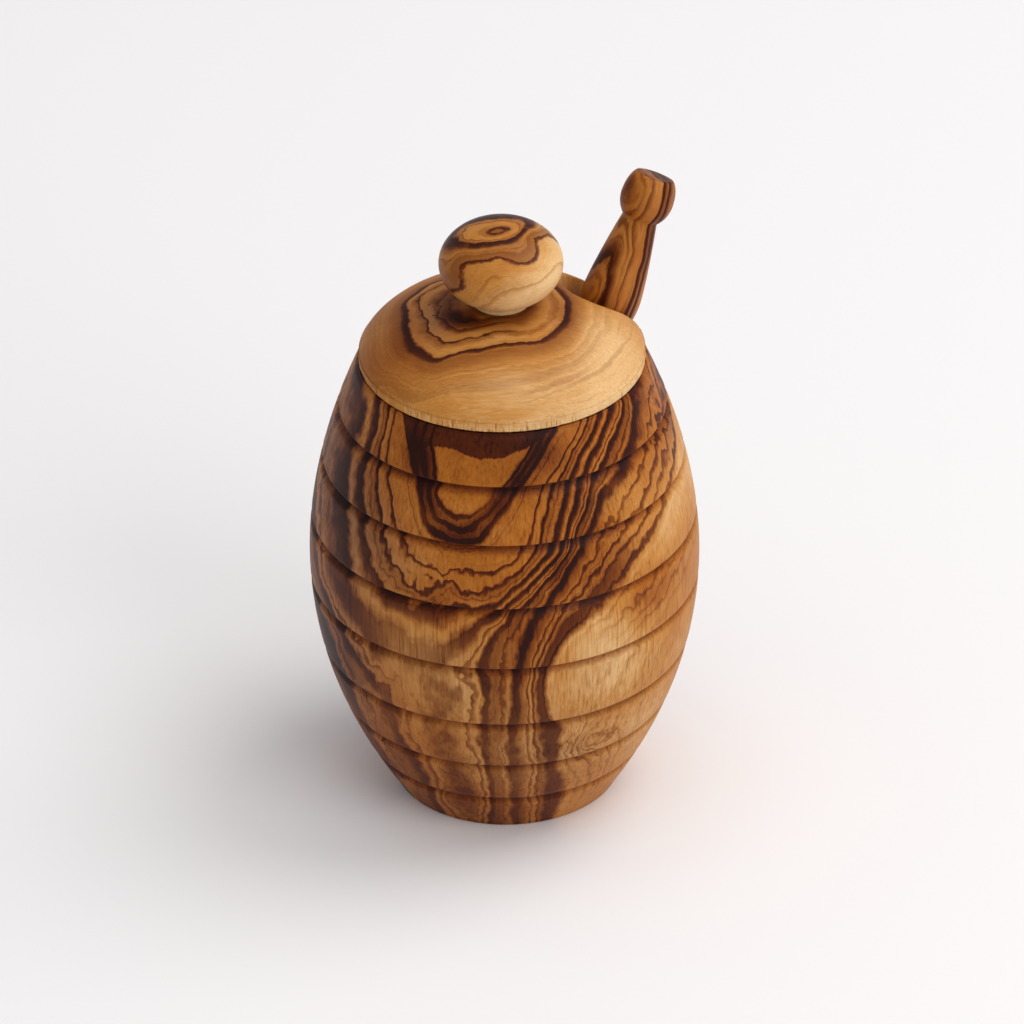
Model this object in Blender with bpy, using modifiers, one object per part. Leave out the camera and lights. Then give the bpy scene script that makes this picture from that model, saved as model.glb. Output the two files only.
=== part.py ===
# Olive wood honey pot: a turned, ringed barrel, a lift-off domed lid with a glued-in knob,
# and a honey dipper that leans out through a notch in the lid.
# Metres, +Z up. The origin is the centre of the flat base, and the notch opens towards +X.

import math

import bmesh
import bpy
from mathutils import Vector

# Gaps between neighbouring pieces
SEAT_GAP = 0.0003
SPIGOT_CLEARANCE = 0.0006
TENON_CLEARANCE = 0.0003
NOTCH_CLEARANCE = 0.0004
DIPPER_CLEARANCE = 0.0004

# Pot body, outside
BASE_RADIUS = 0.0245
BASE_CHAMFER = 0.0008
BELLY_RADIUS = 0.0425
BELLY_HEIGHT = 0.057
RIM_RADIUS = 0.0312
RIM_HEIGHT = 0.1049
LOWER_CURVE_POWER = 2.05
UPPER_CURVE_POWER = 1.86

# Rings turned into the outside: heights of their upper edges as shares of the rim height
GROOVE_HEIGHT_SHARES = (0.898, 0.779, 0.6425, 0.5005, 0.351, 0.225, 0.1096)
GROOVE_DEPTH = 0.0011
GROOVE_LIP = 0.00035
GROOVE_WIDTH = 0.0023
BAND_STEPS = 2

# Pot body, inside: wall thicknesses are measured across, from the outside without its rings
RIM_WALL = 0.0028
MOUTH_CHAMFER = 0.0008
BELLY_WALL = 0.0057
FLOOR_THICKNESS = 0.009
FLOOR_WALL = 0.0093
BORE_LOWER_POWER = 2.2
BORE_UPPER_POWER = 2.0
BORE_STEPS = 7

# Lid
LID_INSET = 0.0003
LID_EDGE = 0.0016
DOME_RISE = 0.0125
DOME_FLAT_POWER = 2.6
DOME_ROUND_POWER = 0.714
DOME_STEPS = 11
KNOB_SEAT_RADIUS = 0.0084
SPIGOT_DEPTH = 0.0035
RECESS_RADIUS = 0.0235
RECESS_DEPTH = 0.0065
RECESS_STEPS = 4
NOTCH_WIDTH = 0.016
NOTCH_INNER_REACH = 0.0160
NOTCH_ROUND_SHARE = 0.97
NOTCH_STEPS = 10
CUT_OVERRUN = 0.004

# Knob
KNOB_RADIUS = 0.0134
KNOB_HALF_HEIGHT = 0.00925
KNOB_CENTRE_RISE = 0.0095
NECK_RADIUS = 0.0074
NECK_FOOT_FLARE = 0.0006
TENON_RADIUS = 0.004
TENON_LENGTH = 0.0085
KNOB_STEPS = 14

# Honey dipper: lengths are measured down its own axis from the top of its ball
DIPPER_TILT = math.radians(26.9)
DIPPER_SWING = math.radians(10.0)
BALL_RADIUS = 0.0058
BALL_LENGTH = 0.0107
BALL_TOP_FLAT_SHARE = 0.45
BALL_TOP_POWER = 0.65
BALL_STEPS = 8
DIPPER_NECK_RADIUS = 0.0039
GRIP_RADIUS = 0.0065
GRIP_LENGTH = 0.0285
MOUTH_CROSSING_LENGTH = 0.0377
GRIP_AT_MOUTH_SHARE = 0.7
SHAFT_RADIUS = 0.0031
SHAFT_TAPER_LENGTH = 0.024
HEAD_LENGTH = 0.0285
HEAD_RADIUS = 0.0100
HEAD_END_SHARE = 0.82
RIDGE_COUNT = 6
RIDGE_SLOT_DEPTH = 0.0038
RIDGE_SLOT_SHARE = 0.42
RIDGE_ROUND_SHARE = 0.2
GRIP_CURVE_POWER = 1.3
GRIP_STEPS = 4

# Facets round each turned piece
POT_SEGMENTS = 64
LID_SEGMENTS = 60
KNOB_SEGMENTS = 36
DIPPER_SEGMENTS = 22
MERGE_DISTANCE = 0.00002

# Heights and places that follow from the sizes above
SEAT_HEIGHT = RIM_HEIGHT + SEAT_GAP
MOUTH_RADIUS = RIM_RADIUS - RIM_WALL
LID_RADIUS = RIM_RADIUS - LID_INSET
NOTCH_ROUND_RADIUS = NOTCH_ROUND_SHARE * NOTCH_WIDTH / 2


def clear_scene():
    for thing in list(bpy.data.objects):
        bpy.data.objects.remove(thing, do_unlink=True)


def make_collection(name):
    collection = bpy.data.collections.new(name)
    bpy.context.scene.collection.children.link(collection)
    return collection


def make_material(name, colour, roughness):
    material = bpy.data.materials.new(name)
    material.use_nodes = True
    shader = material.node_tree.nodes["Principled BSDF"]
    shader.inputs["Base Color"].default_value = (*colour, 1.0)
    shader.inputs["Roughness"].default_value = roughness
    shader.inputs["Metallic"].default_value = 0.0
    return material


def curved_radius(height, belly_radius, end_height, end_radius, power):
    """Radius at a height on the curve that runs from the belly to one end of a barrel."""
    share = (height - BELLY_HEIGHT) / (end_height - BELLY_HEIGHT)
    return belly_radius - (belly_radius - end_radius) * share ** power


def outer_radius(height):
    if height > BELLY_HEIGHT:
        return curved_radius(height, BELLY_RADIUS, RIM_HEIGHT, RIM_RADIUS, UPPER_CURVE_POWER)
    return curved_radius(height, BELLY_RADIUS, 0.0, BASE_RADIUS, LOWER_CURVE_POWER)


def bore_radius(height):
    belly_radius = BELLY_RADIUS - BELLY_WALL
    if height > BELLY_HEIGHT:
        return curved_radius(height, belly_radius, RIM_HEIGHT, MOUTH_RADIUS, BORE_UPPER_POWER)
    floor_radius = outer_radius(FLOOR_THICKNESS) - FLOOR_WALL
    return curved_radius(height, belly_radius, FLOOR_THICKNESS, floor_radius, BORE_LOWER_POWER)


def dome_height(radius):
    """Height of the lid's domed top above the underside of its edge."""
    share = min(radius / LID_RADIUS, 1.0)
    return LID_EDGE + DOME_RISE * (1.0 - share ** DOME_FLAT_POWER) ** DOME_ROUND_POWER


def turned_piece(name, profile, segments, material, collection):
    """A solid of revolution: the profile is (radius, height) points, running down the outside."""
    mesh = bpy.data.meshes.new(name)
    points = [(radius, 0.0, height) for radius, height in profile]
    edges = [(index, index + 1) for index in range(len(points) - 1)]
    mesh.from_pydata(points, edges, [])
    piece = bpy.data.objects.new(name, mesh)
    collection.objects.link(piece)
    piece.data.materials.append(material)
    screw = piece.modifiers.new("turning", "SCREW")
    screw.axis = "Z"
    screw.angle = math.tau
    screw.steps = segments
    screw.render_steps = segments
    screw.use_merge_vertices = True
    screw.merge_threshold = MERGE_DISTANCE
    screw.use_smooth_shade = True
    return piece


def between(start, end, steps):
    """Evenly spaced values from start to end, without the start."""
    return [start + (end - start) * step / steps for step in range(1, steps + 1)]


def pot_profile():
    points = [(0.0, FLOOR_THICKNESS), (bore_radius(FLOOR_THICKNESS), FLOOR_THICKNESS)]
    points += [(bore_radius(height), height)
               for height in between(FLOOR_THICKNESS, BELLY_HEIGHT, BORE_STEPS)]
    mouth_edge = RIM_HEIGHT - MOUTH_CHAMFER
    points += [(bore_radius(height), height)
               for height in between(BELLY_HEIGHT, mouth_edge, BORE_STEPS)]
    points.append((bore_radius(mouth_edge) + MOUTH_CHAMFER, RIM_HEIGHT))
    points.append((RIM_RADIUS, RIM_HEIGHT))
    band_top = RIM_HEIGHT
    for share in GROOVE_HEIGHT_SHARES:
        edge = share * RIM_HEIGHT
        points += [(outer_radius(height), height)
                   for height in between(band_top, edge, BAND_STEPS)]
        points.append((outer_radius(edge) - GROOVE_DEPTH, edge - GROOVE_LIP))
        band_top = edge - GROOVE_WIDTH
        points.append((outer_radius(band_top), band_top))
    points += [(outer_radius(height), height)
               for height in between(band_top, BASE_CHAMFER, BAND_STEPS)]
    points.append((BASE_RADIUS - BASE_CHAMFER, 0.0))
    points.append((0.0, 0.0))
    return points


def lid_profile():
    """Heights above the lid's seat; the top has a blind hole for the knob's tenon."""
    hole_radius = TENON_RADIUS + TENON_CLEARANCE
    seat = dome_height(KNOB_SEAT_RADIUS)
    hole_floor = seat - TENON_LENGTH - TENON_CLEARANCE
    points = [(0.0, hole_floor), (hole_radius, hole_floor), (hole_radius, seat)]
    points.append((KNOB_SEAT_RADIUS, seat))
    start = math.asin(KNOB_SEAT_RADIUS / LID_RADIUS)
    radii = [LID_RADIUS * math.sin(angle) for angle in between(start, math.pi / 2, DOME_STEPS)]
    points += [(radius, dome_height(radius)) for radius in radii]
    points.append((LID_RADIUS, 0.0))
    spigot_radius = MOUTH_RADIUS - SPIGOT_CLEARANCE
    points.append((spigot_radius, 0.0))
    points.append((spigot_radius, -SPIGOT_DEPTH))
    points.append((RECESS_RADIUS, -SPIGOT_DEPTH))
    for angle in between(0.0, math.pi / 2, RECESS_STEPS)[:-1]:
        points.append((RECESS_RADIUS * math.cos(angle), RECESS_DEPTH * math.sin(angle) - SPIGOT_DEPTH))
    points.append((0.0, RECESS_DEPTH - SPIGOT_DEPTH))
    return points


def knob_profile():
    """Heights above the knob's foot: a flattened ball on a short neck, with a tenon below."""
    lowest = math.pi - math.asin(NECK_RADIUS / KNOB_RADIUS)
    points = [(0.0, KNOB_CENTRE_RISE + KNOB_HALF_HEIGHT)]
    for angle in between(0.0, lowest, KNOB_STEPS):
        height = KNOB_CENTRE_RISE + KNOB_HALF_HEIGHT * math.cos(angle)
        points.append((KNOB_RADIUS * math.sin(angle), height))
    points.append((NECK_RADIUS, NECK_FOOT_FLARE))
    points.append((NECK_RADIUS + NECK_FOOT_FLARE, 0.0))
    points.append((TENON_RADIUS, 0.0))
    points.append((TENON_RADIUS, -TENON_LENGTH))
    points.append((0.0, -TENON_LENGTH))
    return points


def axis_direction():
    horizontal = math.sin(DIPPER_TILT)
    return Vector((horizontal * math.cos(DIPPER_SWING), horizontal * math.sin(DIPPER_SWING),
                   math.cos(DIPPER_TILT)))


def mouth_crossing():
    """Where the dipper's axis crosses the top of the pot: its grip leans on the mouth's edge
    and, higher up, on one side of the notch."""
    direction = axis_direction()
    grip_at_mouth = GRIP_AT_MOUTH_SHARE * GRIP_RADIUS
    notch_slack = NOTCH_WIDTH / 2 - GRIP_RADIUS - NOTCH_CLEARANCE
    side = -notch_slack - direction.y * (MOUTH_CROSSING_LENGTH - GRIP_LENGTH)
    reach = MOUTH_RADIUS - DIPPER_CLEARANCE - grip_at_mouth / direction.z
    across = math.sqrt(reach ** 2 - side ** 2)
    return Vector((across, side, RIM_HEIGHT))


def ridge_radius(ridge):
    """Radius of one disc of the dipper's head: the widest are in the middle."""
    middle_share = ridge / (RIDGE_COUNT - 1) * 2.0 - 1.0
    return HEAD_RADIUS * (1.0 - (1.0 - HEAD_END_SHARE) * middle_share ** 2)


def length_below_mouth():
    """How far down its axis the dipper reaches before its end would meet the bore."""
    direction = axis_direction()
    crossing = mouth_crossing()
    end_radius = ridge_radius(RIDGE_COUNT - 1)
    short = 0.0
    long = RIM_HEIGHT / direction.z
    for _ in range(40):
        length = (short + long) / 2
        centre = crossing - direction * length
        outward = centre.to_2d().length + end_radius * direction.z
        height = centre.z - end_radius * math.sin(DIPPER_TILT)
        inside = height > FLOOR_THICKNESS + DIPPER_CLEARANCE
        inside = inside and outward < bore_radius(height) - DIPPER_CLEARANCE
        short, long = (length, long) if inside else (short, length)
    return short


def grip_radius(length):
    """The swelling grip between the ball's neck and the slim shaft."""
    if length < GRIP_LENGTH:
        share = (GRIP_LENGTH - length) / (GRIP_LENGTH - BALL_LENGTH)
        return GRIP_RADIUS - (GRIP_RADIUS - DIPPER_NECK_RADIUS) * share ** GRIP_CURVE_POWER
    at_mouth = GRIP_AT_MOUTH_SHARE * GRIP_RADIUS
    share = (length - GRIP_LENGTH) / (MOUTH_CROSSING_LENGTH - GRIP_LENGTH)
    return GRIP_RADIUS - (GRIP_RADIUS - at_mouth) * share ** 2


def ball_profile():
    """The ball: a short barrel whose top is rounded, with a flat in the middle."""
    start = math.asin(BALL_TOP_FLAT_SHARE ** (1 / BALL_TOP_POWER))
    finish = math.pi - math.asin(DIPPER_NECK_RADIUS / BALL_RADIUS)
    points = [(0.0, 0.0), (BALL_TOP_FLAT_SHARE * BALL_RADIUS, 0.0)]
    for angle in between(start, finish, BALL_STEPS):
        length_share = (math.cos(start) - math.cos(angle)) / (math.cos(start) - math.cos(finish))
        power = BALL_TOP_POWER if angle < math.pi / 2 else 1.0
        points.append((BALL_RADIUS * math.sin(angle) ** power, BALL_LENGTH * length_share))
    return points


def head_profile(start, end):
    """The ridged head: discs left between slots, all within a barrel shape."""
    pitch = (end - start) / (RIDGE_COUNT - RIDGE_SLOT_SHARE)
    thickness = pitch * (1.0 - RIDGE_SLOT_SHARE)
    rounding = RIDGE_ROUND_SHARE * thickness
    points = []
    for ridge in range(RIDGE_COUNT):
        radius = ridge_radius(ridge)
        core = radius - RIDGE_SLOT_DEPTH
        top = start + ridge * pitch
        bottom = top + thickness
        points += [(core, top), (radius - rounding, top), (radius, top + rounding)]
        points += [(radius, bottom - rounding), (radius - rounding, bottom), (core, bottom)]
    points[-1] = (0.0, end)
    return points


def dipper_profile(total):
    """Radius against length, down from the ball's top."""
    head_start = total - HEAD_LENGTH
    taper_end = MOUTH_CROSSING_LENGTH + SHAFT_TAPER_LENGTH
    at_mouth = GRIP_AT_MOUTH_SHARE * GRIP_RADIUS
    points = ball_profile()
    points += [(grip_radius(length), length)
               for length in between(BALL_LENGTH, GRIP_LENGTH, GRIP_STEPS)]
    points += [(grip_radius(length), length)
               for length in between(GRIP_LENGTH, MOUTH_CROSSING_LENGTH, GRIP_STEPS)]
    for length in between(MOUTH_CROSSING_LENGTH, taper_end, GRIP_STEPS):
        share = (taper_end - length) / SHAFT_TAPER_LENGTH
        points.append((SHAFT_RADIUS + (at_mouth - SHAFT_RADIUS) * share ** 2, length))
    points += head_profile(head_start, total)
    return points


def make_notch_cutter(collection):
    """A box with one round end, as long as the lid is wide and taller than the lid."""
    low = -SPIGOT_DEPTH - CUT_OVERRUN
    high = dome_height(0.0) + CUT_OVERRUN
    far = LID_RADIUS + CUT_OVERRUN
    size = Vector((far - NOTCH_INNER_REACH, NOTCH_WIDTH, high - low))
    middle = Vector(((far + NOTCH_INNER_REACH) / 2, 0.0, (high + low) / 2))
    shape = bmesh.new()
    bmesh.ops.create_cube(shape, size=1.0)
    bmesh.ops.scale(shape, vec=size, verts=shape.verts)
    bmesh.ops.translate(shape, vec=middle, verts=shape.verts)
    corners = [edge for edge in shape.edges
               if edge.verts[0].co.xy == edge.verts[1].co.xy and edge.verts[0].co.x < middle.x]
    bmesh.ops.bevel(shape, geom=corners, offset=NOTCH_ROUND_RADIUS, offset_type="OFFSET",
                    segments=NOTCH_STEPS, profile=0.5, affect="EDGES", clamp_overlap=True)
    mesh = bpy.data.meshes.new("notch_cutter")
    shape.to_mesh(mesh)
    shape.free()
    cutter = bpy.data.objects.new("notch_cutter", mesh)
    collection.objects.link(cutter)
    cutter.hide_render = True
    cutter.display_type = "WIRE"
    return cutter


def make_pot_body(collection):
    material = make_material("pot_olive_wood", (0.47, 0.21, 0.075), 0.5)
    return turned_piece("pot_body", pot_profile(), POT_SEGMENTS, material, collection)


def make_lid(collection, cutters):
    material = make_material("lid_olive_wood", (0.53, 0.27, 0.12), 0.5)
    lid = turned_piece("lid", lid_profile(), LID_SEGMENTS, material, collection)
    lid.location = (0.0, 0.0, SEAT_HEIGHT)
    cutter = make_notch_cutter(cutters)
    cutter.location = lid.location
    cut = lid.modifiers.new("notch", "BOOLEAN")
    cut.operation = "DIFFERENCE"
    cut.solver = "EXACT"
    cut.object = cutter
    return lid


def make_knob(collection, lid):
    material = make_material("knob_olive_wood", (0.56, 0.32, 0.13), 0.4)
    knob = turned_piece("lid_knob", knob_profile(), KNOB_SEGMENTS, material, collection)
    knob.parent = lid
    knob.location = (0.0, 0.0, dome_height(KNOB_SEAT_RADIUS) + SEAT_GAP)
    return knob


def make_dipper(collection):
    material = make_material("dipper_olive_wood", (0.30, 0.12, 0.04), 0.4)
    total = MOUTH_CROSSING_LENGTH + length_below_mouth()
    profile = [(radius, MOUTH_CROSSING_LENGTH - length) for radius, length in dipper_profile(total)]
    dipper = turned_piece("dipper", profile, DIPPER_SEGMENTS, material, collection)
    dipper.location = mouth_crossing()
    dipper.rotation_euler = (0.0, DIPPER_TILT, DIPPER_SWING)
    return dipper


def main():
    clear_scene()
    parts = make_collection("olive_wood_honey_pot")
    cutters = make_collection("cutters")
    make_pot_body(parts)
    lid = make_lid(parts, cutters)
    make_knob(parts, lid)
    make_dipper(parts)


main()
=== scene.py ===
import math

import bmesh
import bpy
import numpy as np
from mathutils import Matrix, Vector, noise


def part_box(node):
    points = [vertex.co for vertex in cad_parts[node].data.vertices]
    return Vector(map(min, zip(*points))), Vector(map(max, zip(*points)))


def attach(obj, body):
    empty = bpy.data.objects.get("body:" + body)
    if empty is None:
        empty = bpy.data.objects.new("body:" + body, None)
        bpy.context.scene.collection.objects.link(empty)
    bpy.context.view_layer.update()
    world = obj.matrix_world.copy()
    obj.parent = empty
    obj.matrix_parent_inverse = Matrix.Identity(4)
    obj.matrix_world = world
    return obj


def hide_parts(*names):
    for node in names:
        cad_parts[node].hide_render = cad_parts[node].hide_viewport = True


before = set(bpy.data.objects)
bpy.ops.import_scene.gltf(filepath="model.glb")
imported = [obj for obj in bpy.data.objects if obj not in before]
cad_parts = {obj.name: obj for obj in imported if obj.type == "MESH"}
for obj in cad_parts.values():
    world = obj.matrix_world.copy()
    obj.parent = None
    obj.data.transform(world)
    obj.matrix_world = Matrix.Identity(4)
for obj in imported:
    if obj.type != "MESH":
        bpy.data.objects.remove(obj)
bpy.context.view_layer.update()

mm = 0.001
print("frame loaded:", ", ".join(sorted(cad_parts)))

# the photographed side; u is millimetres to the right as seen from there
view = {
    "azimuth": -30.0, "elevation": 32.335, "roll": 0.7,
    "distance": 2.0, "pixelsPerUnit": 9189.0, "imageWidth": 1024, "sensor": 36.0,
    "aimHeight": 0.0656, "aimRight": 0.00172,
}
across = Vector((math.cos(math.radians(view["azimuth"])), math.sin(math.radians(view["azimuth"])), 0))
away = Vector((-across.y, across.x, 0))

# how gently a drawn line of the figure starts, and what is left of it at its far side
barEdge = {"soft": 0.22, "end": 0.85}
# the oiled surface of all four pieces
sheen = {"ior": 1.45, "specular": 0.14}


# shader maths

class Val:
    # one shader value; the operators add Math nodes

    def __init__(self, finish, socket):
        self.finish = finish
        self.socket = socket

    def math(self, operation, *values):
        return self.finish.add("ShaderNodeMath", {"operation": operation}, dict(enumerate(values)))

    def __add__(self, other):
        return self.math("ADD", self, other)

    def __radd__(self, other):
        return self.math("ADD", other, self)

    def __sub__(self, other):
        return self.math("SUBTRACT", self, other)

    def __rsub__(self, other):
        return self.math("SUBTRACT", other, self)

    def __mul__(self, other):
        return self.math("MULTIPLY", self, other)

    def __rmul__(self, other):
        return self.math("MULTIPLY", other, self)

    def __abs__(self):
        return self.math("ABSOLUTE", self)


class Finish:
    # a material being built; lengths inside it are millimetres

    def __init__(self, name):
        self.material = bpy.data.materials.new(name)
        self.material.use_nodes = True
        self.tree = self.material.node_tree
        self.tree.nodes.clear()

    def add(self, kind, settings=None, values=None, output=0):
        node = self.tree.nodes.new(kind)
        for key, value in (settings or {}).items():
            if key == "stops":
                self.setStops(node.color_ramp, value)
            else:
                setattr(node, key, value)
        for key, value in (values or {}).items():
            if isinstance(value, Val):
                self.tree.links.new(value.socket, node.inputs[key])
            else:
                node.inputs[key].default_value = value
        return Val(self, node.outputs[output]) if node.outputs else None

    def setStops(self, ramp, stops):
        while len(ramp.elements) > 1:
            ramp.elements.remove(ramp.elements[-1])
        ramp.elements[0].position = stops[0][0]
        for place, _ in stops[1:]:
            ramp.elements.new(place)
        for element, (_, colour) in zip(ramp.elements, stops):
            element.color = (*colour, 1.0) if isinstance(colour, tuple) else (colour, colour, colour, 1.0)

    def smooth(self, value, low, high):
        return self.add("ShaderNodeMapRange", {"interpolation_type": "SMOOTHSTEP"},
                        {0: value, 1: low, 2: high, 3: 0.0, 4: 1.0})

    def bars(self, value, low, high, bars):
        # bars across value: (centre, width, strength, tail), sharp on one side and fading on the other
        span = high - low
        stops = [(0.0, 0.0)]
        for centre, width, strength, tail in bars:
            first = (centre - 0.5 * width - low) / span
            last = (centre + 0.5 * width - low) / span
            soft = barEdge["soft"] * (last - first)
            stops.append((max(first - soft, stops[-1][0]), 0.0))
            stops.append((first + soft, strength))
            stops.append((last - soft, strength * barEdge["end"]))
            stops.append((last + soft + tail / span, 0.0))
        share = (value - low) * (1.0 / span)
        return self.add("ShaderNodeValToRGB", {"stops": stops}, {0: share})

    def ramp(self, value, colours):
        stops = [(place, woodColours[name]) for place, name in colours.items()]
        return self.add("ShaderNodeValToRGB", {"stops": stops}, {0: value})

    def noise(self, vector, scale, detail=2.0, rough=0.5, output=0):
        return self.add("ShaderNodeTexNoise", {}, {"Vector": vector, "Scale": scale, "Detail": detail,
                        "Roughness": rough}, output)

    def clouds(self, vector, scale, detail=2.0, rough=0.5):
        # three soft random values, each about 0.5
        return self.parts(self.noise(vector, scale, detail, rough, output="Color"))

    def threads(self, ring, first, second, scale, drift, detail):
        # uneven lines that follow the rings
        return self.noise(self.place(ring * scale, first * drift[0], second * drift[1]), 1.0, detail, 0.6)

    def place(self, x, y, z):
        return self.add("ShaderNodeCombineXYZ", {}, {0: x, 1: y, 2: z})

    def parts(self, vector):
        return [self.add("ShaderNodeSeparateXYZ", {}, {0: vector}, index) for index in range(3)]

    def stretch(self, vector, scale, shift=(0, 0, 0), turn=(0, 0, 0)):
        return self.add("ShaderNodeMapping", {}, {"Vector": vector, "Scale": scale, "Location": shift,
                        "Rotation": turn})

    def mix(self, factor, first, second, blend="MIX"):
        return self.add("ShaderNodeMix", {"data_type": "RGBA", "blend_type": blend, "clamp_result": True},
                        {0: factor, 6: first, 7: second}, 2)

    def most(self, first, second):
        return first.math("MAXIMUM", first, second)

    def least(self, first, second):
        return first.math("MINIMUM", first, second)

    def painted(self, name):
        return self.parts(self.add("ShaderNodeAttribute", {"attribute_name": name}, {}, "Vector"))

    def objectSpace(self, turn=0.0, origin=(0.0, 0.0, 0.0)):
        # millimetres from origin, turned about the vertical
        coordinates = self.add("ShaderNodeTexCoord", {}, {}, "Object")
        moved = self.add("ShaderNodeVectorMath", {"operation": "SUBTRACT"}, {0: coordinates, 1: origin})
        return self.stretch(moved, (1000, 1000, 1000), turn=(0, 0, turn))

    def finish(self, colour, rough, height, bump):
        normal = self.add("ShaderNodeBump", {}, {"Distance": bump * mm, "Height": height, "Strength": 1.0})
        shader = self.add("ShaderNodeBsdfPrincipled", {}, {"Base Color": colour, "Roughness": rough,
                          "Normal": normal, "IOR": sheen["ior"], "Specular IOR Level": sheen["specular"]})
        self.add("ShaderNodeOutputMaterial", {}, {"Surface": shader})
        return self.material


# wood colours, shared by all four pieces; the groove tint is painted shade, and the grey also paints sheen
# and shade

woodColours = {
    "tan": (0.24, 0.064, 0.006), "orange": (0.42, 0.132, 0.014), "honey": (0.57, 0.25, 0.055),
    # the groove tint paints shade into the grooves; the grey is grey wood and also paints sheen and shade
    "cream": (0.82, 0.53, 0.25), "greyShadeAndSheen": (0.27, 0.15, 0.085, 1.0), "grooveShadeTint": (0.52, 0.30, 0.14, 1.0),
    "clear": (1.0, 1.0, 1.0), "faint": (0.62, 0.50, 0.40), "brown": (0.29, 0.165, 0.11),
    "dark": (0.115, 0.05, 0.04), "black": (0.055, 0.022, 0.025),
    "deepFibre": (0.62, 0.54, 0.48), "midFibre": (0.93, 0.91, 0.89),
}


def woodTone(finish, ground, greyShadeAndSheen, dark, fibre):
    # ground 0 heartwood to 1 sapwood; grey mixes in grey wood, painted sheen and painted shade; dark 0
    # clear to 1 black, painted shade included; fibre adds the fine grain
    light = finish.ramp(ground, {0.0: "tan", 0.32: "orange", 0.62: "honey", 1.0: "cream"})
    # grey mixes in grey wood, and painted sheen and shade where the spots put it
    light = finish.mix(greyShadeAndSheen, light, woodColours["greyShadeAndSheen"])
    shade = finish.ramp(dark, {0.0: "clear", 0.3: "faint", 0.6: "brown", 0.85: "dark", 1.0: "black"})
    streaked = finish.mix(1.0, light, shade, "MULTIPLY")
    fine = finish.ramp(fibre, {0.0: "deepFibre", 0.42: "midFibre", 0.6: "clear", 1.0: "clear"})
    return finish.mix(1.0, streaked, fine, "MULTIPLY")


# mesh helpers

def turned(profile, segments):
    # spins (radius, height) points given in millimetres
    shape = bmesh.new()
    verts = [shape.verts.new((radius * mm, 0, height * mm)) for radius, height in profile]
    for first, second in zip(verts, verts[1:]):
        shape.edges.new((first, second))
    bmesh.ops.spin(shape, geom=shape.verts[:] + shape.edges[:], cent=(0, 0, 0), axis=(0, 0, 1),
                   angle=math.tau, steps=segments, use_merge=True, use_duplicate=False)
    bmesh.ops.remove_doubles(shape, verts=shape.verts, dist=0.002 * mm)
    bmesh.ops.recalc_face_normals(shape, faces=shape.faces)
    return shape


def finished(name, shape, painter, material, node, body):
    mesh = bpy.data.meshes.new(name)
    shape.to_mesh(mesh)
    shape.free()
    painter(mesh)
    mesh.materials.append(material)
    mesh.shade_smooth()
    piece = bpy.data.objects.new(name, mesh)
    bpy.context.scene.collection.objects.link(piece)
    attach(piece, body)
    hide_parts(node)
    print(name, "made:", len(mesh.polygons), "faces")
    return piece


class Growth:
    # a smooth field through given strokes: each stroke is one growth ring seen on the surface

    def __init__(self, strokes, place, ease=3.0):
        self.ease = ease
        self.points = np.array([place(*point) for _, stroke in strokes for point in stroke])
        values = [value for value, stroke in strokes for _ in stroke]
        count = len(values)
        tail = np.hstack([np.ones((count, 1)), self.points])
        system = np.vstack([np.hstack([self.spans(self.points) - 0.4 * np.eye(count), tail]),
                            np.hstack([tail.T, np.zeros((4, 4))])])
        self.weights = np.linalg.lstsq(system, np.array(values + [0.0] * 4), rcond=None)[0]

    def spans(self, places):
        gaps = places[:, None, :] - self.points[None, :, :]
        return np.sqrt((gaps ** 2).sum(axis=2) + self.ease ** 2)

    def at(self, places):
        parts = []
        for start in range(0, len(places), 8000):
            some = places[start:start + 8000]
            tilt = self.weights[-4] + some @ self.weights[-3:]
            parts.append(self.spans(some) @ self.weights[:-4] + tilt)
        return np.concatenate(parts)


def viewPlaces(mesh, origin=(0.0, 0.0, 0.0)):
    # every vertex in millimetres: right, away and up as seen from the photographed side
    flat = np.empty(len(mesh.vertices) * 3)
    mesh.vertices.foreach_get("co", flat)
    places = flat.reshape(-1, 3) / mm - np.array(origin)
    axes = np.array([across, away, (0, 0, 1)])
    return places @ axes.T


def ovals(places, marks):
    # soft spots: (right, up, half width, half height, amount) on a flat map of the surface
    total = np.zeros(len(places))
    for right, up, wide, high, amount in marks:
        reach = ((places[:, 0] - right) / wide) ** 2 + ((places[:, 1] - up) / high) ** 2
        total += amount * np.exp(-reach)
    return total


def paint(mesh, name, columns):
    # stores three smooth values on every vertex for the material to read
    values = np.stack(columns, axis=1).astype(np.float32)
    layer = mesh.attributes.new(name, "FLOAT_VECTOR", "POINT")
    layer.data.foreach_set("vector", values.ravel())


def spread(start, end, steps):
    return [start + (end - start) * step / steps for step in range(steps + 1)]


# pot body

pot = {
    "baseRadius": 24.5, "bellyRadius": 42.5, "bellyHeight": 57.0, "rimRadius": 31.2, "rimHeight": 104.9,
    "lowerPower": 2.05, "upperPower": 1.86, "baseChamfer": 0.8,
    "grooveShares": (0.898, 0.779, 0.6425, 0.5005, 0.351, 0.225, 0.1096),
    "grooveDepth": 1.1, "grooveLip": 0.35, "grooveWidth": 2.3,
    "rimWall": 2.8, "bellyWall": 5.7, "floor": 9.0, "floorWall": 9.3, "boreLower": 2.2, "boreUpper": 2.0,
    "segments": 256, "bandSteps": 8, "boreSteps": 20,
    "groundTone": 0.31, "backTone": 0.1, "turnAway": 12.0, "rough": 0.40, "bump": 0.05,
}


def curved(height, belly, endHeight, endRadius, power):
    share = (height - pot["bellyHeight"]) / (endHeight - pot["bellyHeight"])
    return belly - (belly - endRadius) * max(share, 0.0) ** power


def outer(height):
    if height > pot["bellyHeight"]:
        return curved(height, pot["bellyRadius"], pot["rimHeight"], pot["rimRadius"], pot["upperPower"])
    return curved(height, pot["bellyRadius"], 0.0, pot["baseRadius"], pot["lowerPower"])


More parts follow.
